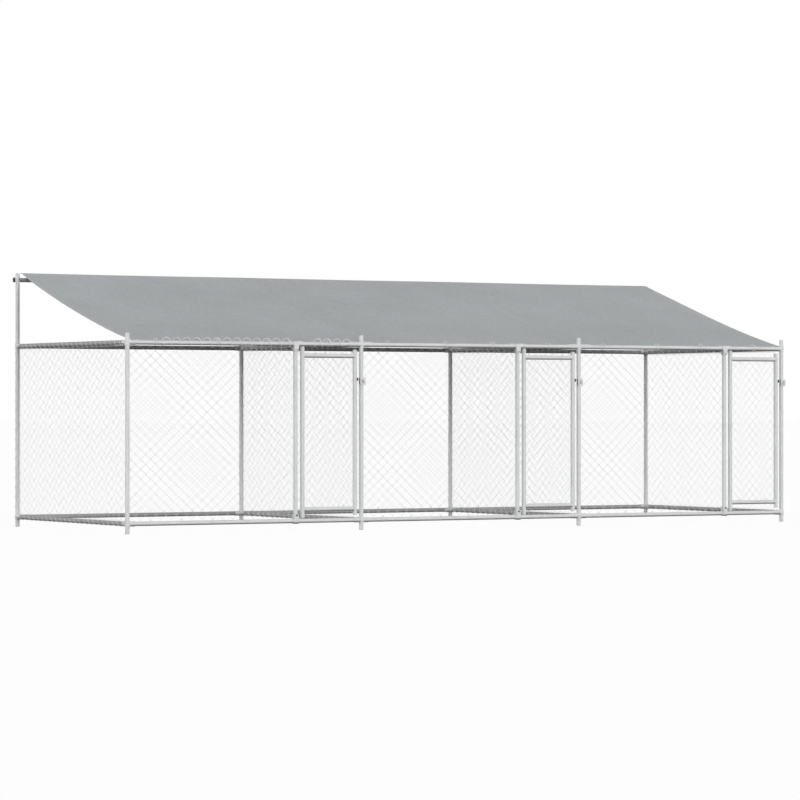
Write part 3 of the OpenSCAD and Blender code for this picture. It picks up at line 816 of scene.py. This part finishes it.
def make_plugs():
    """Black plugs with a flared, domed head that stands clear of the post."""
    low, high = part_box("roof_rails")
    profile = ((plug_neck_r, -0.012), (plug_neck_r, -touch), (tube_r + 0.0001, -touch),
               (plug_head_r, 0.0043), (plug_head_r, 0.0083), (plug_head_r - 0.0016, 0.0105),
               (plug_head_r - 0.0052, 0.0117), (plug_head_r - 0.0112, 0.0123))
    plug = turned(profile, 40, True)
    pieces = []
    for x, way in ((low.x, -1), (high.x, 1)):
        twin = twin_of(plug, "plug")
        twin.rotation_euler = (0.0, way * math.pi / 2, 0.0)
        twin.location = (x + way * touch, roof_rail_y, roof_rail_z)
        pieces.append(twin)
    bpy.data.objects.remove(plug)
    plugs = settle(weld_pieces("roof_rail_end_plugs", pieces))
    smooth(plugs, 40)
    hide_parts("roof_rail_plugs")
    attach(plugs, "kennel_frame")
    return plugs


# Welds of the door frames

bead_r = 0.0018
bead_rim = tube_r + 0.0003
bead_off = 0.0008
bead_ripple = 0.0003
bead_steps = 48


def make_welds(k):
    """A bead round each end of a door's rails, where they meet the stiles."""
    low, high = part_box(f"door_{k}_frame")
    mesh_low, mesh_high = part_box(f"door_{k}_mesh")
    y = (low.y + high.y) / 2
    beads = []
    for stile_x, way in ((low.x + tube_r, 1), (high.x - tube_r, -1)):
        for rail_z in (mesh_low.z - tube_r, mesh_high.z + tube_r):
            ring = []
            for n in range(bead_steps):
                angle = 2 * math.pi * n / bead_steps
                off = bead_rim * abs(math.sin(angle)) + bead_off + bead_ripple * math.sin(17 * angle)
                ring.append((stile_x + way * off, y + bead_rim * math.cos(angle),
                             rail_z + bead_rim * math.sin(angle)))
            beads.append(bent_wire("bead", ring, bead_r, 6, True))
    welds = weld_pieces(f"door_{k}_welds", beads)
    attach(welds, f"door_{k}")
    return welds


# Finishes

class Val:
    """A value in a finish. Sums, differences and products of values add Math nodes."""

    def __init__(self, finish, socket):
        self.finish = finish
        self.socket = socket

    def math(self, operation, a, b=None):
        inputs = {0: a} if b is None else {0: a, 1: b}
        return self.finish.add("ShaderNodeMath", {"operation": operation}, inputs)

    def __add__(self, other):
        return self.math("ADD", self, other)

    def __radd__(self, other):
        return self.math("ADD", other, self)

    def __sub__(self, other):
        return self.math("SUBTRACT", self, other)

    def __rsub__(self, other):
        return self.math("SUBTRACT", other, self)

    def __mul__(self, other):
        return self.math("MULTIPLY", self, other)

    def sine(self):
        return self.math("SINE", self)

    def size(self):
        return self.math("ABSOLUTE", self)

    def fade(self, start, end):
        """0 before start, 1 after end and smooth between them."""
        settings = {"interpolation_type": "SMOOTHSTEP"}
        inputs = {"Value": self, "From Min": start, "From Max": end}
        return self.finish.add("ShaderNodeMapRange", settings, inputs)


class Board:
    """An emptied node tree, with one method that adds any node to it."""

    def __init__(self, owner):
        owner.use_nodes = True
        self.tree = owner.node_tree
        self.tree.nodes.clear()

    def add(self, kind, settings, inputs, output=0):
        node = self.tree.nodes.new(kind)
        for key, value in settings.items():
            setattr(node, key, value)
        for key, value in inputs.items():
            self.plug(node.inputs[key], value)
        return None if output is None else Val(self, node.outputs[output])

    def plug(self, socket, value):
        if isinstance(value, Val):
            self.tree.links.new(value.socket, socket)
        else:
            socket.default_value = value

    def spots(self, kind="Object"):
        return self.add("ShaderNodeTexCoord", {}, {}, kind)

    def part(self, vector, axis):
        return self.add("ShaderNodeSeparateXYZ", {}, {0: vector}, axis)

    def seen(self):
        """1 for what the camera sees, also in a shiny or clear surface."""
        total = self.add("ShaderNodeLightPath", {}, {}, "Is Camera Ray")
        total = total + self.add("ShaderNodeLightPath", {}, {}, "Is Glossy Ray")
        return (total + self.add("ShaderNodeLightPath", {}, {}, "Is Transmission Ray")).fade(0.0, 1.0)

    def mix(self, share, first, second):
        return self.add("ShaderNodeMixShader", {}, {0: share, 1: first, 2: second})


class Finish(Board):
    """A material with one shader."""

    def __init__(self, name, constants):
        self.material = bpy.data.materials.new(name)
        super().__init__(self.material)
        self.shader = self.tree.nodes.new("ShaderNodeBsdfPrincipled")
        output = self.tree.nodes.new("ShaderNodeOutputMaterial")
        self.tree.links.new(self.shader.outputs[0], output.inputs["Surface"])
        for socket, value in constants.items():
            self.shader.inputs[socket].default_value = value

    def cloud(self, vector, scale, detail=3.0, rough=0.5):
        inputs = {"Vector": vector, "Scale": scale, "Detail": detail, "Roughness": rough}
        return self.add("ShaderNodeTexNoise", {}, inputs)

    def cells(self, vector, scale):
        return self.add("ShaderNodeTexVoronoi", {}, {"Vector": vector, "Scale": scale}, "Color")

    def stretch(self, vector, scale):
        return self.add("ShaderNodeMapping", {}, {"Vector": vector, "Scale": scale})

    def tint(self, share, dark, light):
        """A colour between two, by a share from 0 to 1."""
        node = self.tree.nodes.new("ShaderNodeMix")
        node.data_type = "RGBA"
        self.plug(node.inputs[0], share)
        self.plug(node.inputs[6], dark)
        self.plug(node.inputs[7], light)
        return Val(self, node.outputs[2])

    def bump(self, height, strength, distance):
        inputs = {"Height": height, "Strength": strength, "Distance": distance}
        self.set("Normal", self.add("ShaderNodeBump", {}, inputs))

    def set(self, socket, value):
        self.plug(self.shader.inputs[socket], value)


def grey(level, warm=0.0):
    return (level * (1 + warm), level, level * (1 - warm), 1.0)


zinc_dark = grey(0.62, -0.008)
zinc_light = grey(0.78, -0.008)
zinc_rough = 0.58
# Dark grey of painted shade on the undersides of the zinc
underside_shade_grey = grey(0.15)
# Near-black of painted shade round the hasps' hinges
painted_hinge_dark = grey(0.09)

# From a hasp's hinge to the bend of its plate

bend_off = 0.0165


def zinc_finish(name, dark, light, rough, hinge_x=None):
    """Hot-dip zinc: pale crystals, cloudy patches, painted shade on the undersides and a dull bloom near
    the ground.

    Round an upright hinge at hinge_x, and in a band at the bend beside it, painted shade darkens the
    zinc almost to black.
    """
    finish = Finish(name, {"Metallic": 0.08, "Specular IOR Level": 0.25})
    spots = finish.spots()
    crystal = finish.part(finish.cells(spots, 95.0), 0)
    patch = finish.cloud(spots, 6.0)
    grain = finish.cloud(spots, 420.0, 2.0)
    splash = 1 - finish.part(spots, 2).fade(0.0, 0.14)
    share = crystal * 0.35 + patch * 0.65 - splash * 0.12
    # Painted shade: the colour goes towards a dark grey where the surface faces down
    underside_shade = 1 - finish.part(finish.spots("Normal"), 2).fade(-0.85, -0.1)
    colour = finish.tint(underside_shade * (0.66 + patch * 0.3), finish.tint(share, dark, light), underside_shade_grey)
    if hinge_x is not None:
        # Painted shade: near-black bands round the hinge and at the plate's bend, for the shaded gap
        # beside the post
        off = finish.part(spots, 0) - hinge_x
        knuckle = 1 - off.size().fade(0.0055, 0.0075)
        bend = 1 - (off - bend_off).size().fade(0.005, 0.008)
        colour = finish.tint(knuckle + bend * 0.9, colour, painted_hinge_dark)
    finish.set("Base Color", colour)
    finish.set("Roughness", rough - 0.07 + crystal * 0.08 + patch * 0.06 + splash * 0.1)
    finish.bump(crystal * 0.4 + grain * 0.6, 0.12, 0.0006)
    return finish.material


def wire_finish(name, dark, light):
    """Drawn wire with a zinc coat."""
    finish = Finish(name, {"Metallic": 0.1, "Specular IOR Level": 0.4})
    spots = finish.spots()
    patch = finish.cloud(spots, 9.0)
    drawn = finish.cloud(spots, 420.0, 2.0)
    finish.set("Base Color", finish.tint(patch * 0.6 + drawn * 0.4, dark, light))
    finish.set("Roughness", 0.46 + patch * 0.16)
    finish.bump(drawn, 0.15, 0.0002)
    return finish.material


def bolt_finish():
    """Passivated zinc on bolts and nuts, rubbed bright in places and dark near the ground."""
    finish = Finish("dark_passivated_zinc", {"Metallic": 0.75})
    spots = finish.spots()
    patch = finish.cloud(spots, 60.0)
    rub = finish.cloud(spots, 260.0).fade(0.55, 0.75)
    share = patch * 0.5 + rub * 0.5
    dark = finish.tint(share, (0.06, 0.06, 0.065, 1), (0.26, 0.255, 0.25, 1))
    bright = finish.tint(share, grey(0.42), grey(0.6))
    finish.set("Base Color", finish.tint(finish.part(spots, 2).fade(0.4, 0.9), dark, bright))
    finish.set("Roughness", 0.4 + patch * 0.2)
    finish.bump(finish.cloud(spots, 700.0), 0.1, 0.0003)
    return finish.material


def plug_finish():
    """Grey moulded caps with a fine sparked texture."""
    finish = Finish("grey_moulded_plug", {})
    spots = finish.spots()
    patch = finish.cloud(spots, 40.0)
    spark = finish.cloud(spots, 1300.0, 2.0)
    finish.set("Base Color", finish.tint(patch, grey(0.5), grey(0.62)))
    finish.set("Roughness", 0.48 + patch * 0.14)
    finish.bump(spark, 0.2, 0.0003)
    return finish.material


def nylon_finish():
    """Black nylon with a fine sparked texture."""
    finish = Finish("black_nylon", {})
    spots = finish.spots()
    patch = finish.cloud(spots, 50.0)
    spark = finish.cloud(spots, 1500.0, 2.0)
    finish.set("Base Color", finish.tint(patch, grey(0.012), grey(0.03)))
    finish.set("Roughness", 0.42 + patch * 0.18)
    finish.bump(spark, 0.25, 0.0003)
    return finish.material


def cover_finish(width, length):
    """Coated tape weave, with welded hems, paler seams and soft creases."""
    finish = Finish("coated_weave", {"Specular IOR Level": 0.12})
    map_spots = finish.spots("UV")
    u = finish.part(map_spots, 0) * width
    v = finish.part(map_spots, 1) * length
    spots = finish.spots()
    weave = (u * (math.pi / tape_w)).sine() * (v * (math.pi / tape_w)).sine()
    patch = finish.cloud(spots, 1.4, 4.0)
    fine = finish.cloud(spots, 34.0, 2.0)
    crease = finish.cloud(finish.stretch(spots, (1.0, 0.35, 1.0)), 5.0, 5.0, 0.6)
    ridge = 1 - ((crease - 0.5) * 14).size().fade(0.0, 1.0)
    side = (u - width / 2).size()
    edge = side.fade(width / 2 - hem_w - 0.002, width / 2 - hem_w)
    ends = (v - length / 2).size().fade(length / 2 - hem_w - 0.002, length / 2 - hem_w)
    seam = 1 - (side - post_xs[2]).size().fade(seam_w / 2 - 0.001, seam_w / 2 + 0.001)
    double = edge + ends + seam
    share = 0.5 + (patch - 0.5) * 1.5 + (fine - 0.5) * 1.7 + double * 0.1 + weave * 0.05 + ridge * 0.05
    finish.set("Base Color", finish.tint(share, (0.420, 0.437, 0.448, 1), (0.505, 0.525, 0.538, 1)))
    finish.set("Roughness", 0.72 + patch * 0.1 - double * 0.05)
    finish.bump(weave * 0.25 + ridge * 0.5 + double * 0.5, 0.25, 0.0006)
    return finish.material


def cord_finish():
    """Braided elastic cord."""
    finish = Finish("braided_elastic", {"Sheen Weight": 0.2})
    spots = finish.spots()
    x = finish.part(spots, 0)
    y = finish.part(spots, 1)
    z = finish.part(spots, 2)
    left = ((x * 1.4 + y + z) * 2400).sine()
    right = ((x * 1.4 - y - z) * 2400).sine()
    braid = left * right
    finish.set("Base Color", finish.tint(braid * 0.5 + 0.5, grey(0.72), grey(0.88)))
    finish.set("Roughness", 0.7 + braid * 0.1)
    finish.bump(braid, 0.4, 0.0004)
    return finish.material


# Stage, light and camera

floor_size = 400.0
floor_z = -0.0005
sun_way = Vector((0.09, -0.91, 0.405))


def make_stage():
    """A pale floor that looks white, keeps a faint shadow and throws little light back up."""
    pick()
    bpy.ops.mesh.primitive_grid_add(x_subdivisions=4, y_subdivisions=4, size=floor_size,
                                    location=(0, 0, floor_z))
    floor = bpy.context.object
    floor.name = "floor"
    settle(floor)
    material = bpy.data.materials.new("pale_floor")
    board = Board(material)
    shade = board.add("ShaderNodeBsdfDiffuse", {}, {"Color": grey(0.97)})
    white = board.add("ShaderNodeEmission", {}, {"Strength": 1.0})
    dull = board.add("ShaderNodeBsdfDiffuse", {}, {"Color": grey(0.08)})
    both = board.mix(board.seen(), dull, board.mix(0.95, shade, white))
    board.add("ShaderNodeOutputMaterial", {}, {"Surface": both}, None)
    floor.data.materials.append(material)


def make_light():
    """A light tent that is darker overhead and brightest at its left, and a soft lamp in front."""
    world = bpy.data.worlds.new("studio")
    bpy.context.scene.world = world
    board = Board(world)
    spots = board.spots("Generated")
    low = 1 - board.part(spots, 2).fade(0.15, 0.68)
    side = (0.0 - board.part(spots, 0)).fade(0.86, 0.98)
    glow = 0.14 + low * (1.85 + side * 2.6)
    soft = board.add("ShaderNodeBackground", {}, {"Color": grey(1.0), "Strength": glow})
    white = board.add("ShaderNodeBackground", {}, {"Color": grey(1.0), "Strength": 1.0})
    board.add("ShaderNodeOutputWorld", {}, {"Surface": board.mix(board.seen(), soft, white)}, None)
    lamp = bpy.data.lights.new("sun", "SUN")
    lamp.energy = 1.0
    lamp.angle = math.radians(40)
    sun = bpy.data.objects.new("sun", lamp)
    sun.rotation_euler = sun_way.to_track_quat("Z", "Y").to_euler()
    bpy.context.scene.collection.objects.link(sun)


def make_camera():
    lens = bpy.data.cameras.new("camera")
    lens.sensor_width = 36.0
    lens.lens = 159.972
    lens.clip_end = 500.0
    camera = bpy.data.objects.new("camera", lens)
    camera.location = (-14.51888, -24.90856, 0.937356)
    camera.rotation_euler = (math.radians(90.13555), 0.0, math.radians(-30.11056))
    bpy.context.scene.collection.objects.link(camera)
    bpy.context.scene.camera = camera


# The whole run

def dress(piece, material):
    piece.data.materials.clear()
    piece.data.materials.append(material)


def make_finishes():
    """The finish of each slot but the cover's, by the slot's name."""
    return {
        "galvanised_tube": zinc_finish("hot_dip_zinc", zinc_dark, zinc_light, zinc_rough),
        "chain_link_wire": wire_finish("drawn_zinc_wire", grey(0.68, -0.01), grey(0.84, -0.01)),
        "dark_zinc": bolt_finish(),
        "grey_plug": plug_finish(),
        "black_nylon": nylon_finish(),
        "tie_cord": cord_finish(),
    }


def hang_mesh(finishes):
    """The chain link with the wire that holds it."""
    for panel in hang_panels():
        dress(panel, finishes["chain_link_wire"])
    tie_wire = wire_finish("bright_tie_wire", grey(0.66), grey(0.8))
    dress(lace_panels(), tie_wire)
    for rings in ring_panels():
        dress(rings, tie_wire)


def hang_cover(finishes):
    """The cover with its eyelets, stretched over the run and tied to it."""
    shape = CoverShape()
    width = cover_high.x - cover_low.x
    length = shape.total
    eyes = eye_spots(shape)
    cover = make_cover(shape)
    cut_cover(cover, eyes)
    finishes["roof_fabric"] = cover_finish(width, length)
    dress(cover, finishes["roof_fabric"])
    rings = make_eyelets(eyes)
    dress(rings, finishes["galvanised_tube"])
    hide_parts("roof_sheet")
    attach(cover, "kennel_frame")
    ties, crimps = make_ties()
    dress(ties, finishes["tie_cord"])
    dress(crimps, finishes["galvanised_tube"])
    dress(make_hem_lacing(), finishes["tie_cord"])


def dress_nodes(finishes):
    """Finishes on the frame's own pieces: by slot, with painted shade as a darker zinc on the inner
    rails and as dark bands at the hasps.
    """
    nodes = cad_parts
    for node in nodes.values():
        for place, old in enumerate(node.data.materials):
            node.data.materials[place] = finishes[old.name.split(".")[0]]
    # Painted shade: a darker copy of the zinc on the cross and back rails, for the shade of the roof and
    # of the lacing round them
    dull = zinc_finish("rail_shade_zinc", grey(0.33), grey(0.43), 0.66)
    for name in ("cross_top_rails", "cross_bottom_rails", "back_top_rails", "back_bottom_rails"):
        dress(nodes[name], dull)
    for k in bays:
        hinge_x = middle(f"door_{k}_hasp_pin").x
        # Painted shade at the hinge and bend of each hasp and its bracket
        hinge_shade_zinc = zinc_finish(f"shaded_hinge_{k}", zinc_dark, zinc_light, zinc_rough, hinge_x)
        dress(nodes[f"door_{k}_latch_bracket"], hinge_shade_zinc)
        dress(nodes[f"door_{k}_hasp"], hinge_shade_zinc)


def main():
    make_camera()
    make_light()
    make_stage()
    finishes = make_finishes()
    hang_mesh(finishes)
    hang_cover(finishes)
    dress(make_plugs(), finishes["black_nylon"])
    for k in bays:
        dress(make_welds(k), finishes["galvanised_tube"])
    dress_nodes(finishes)
    bpy.context.scene.view_settings.view_transform = "Standard"


main()
pick()
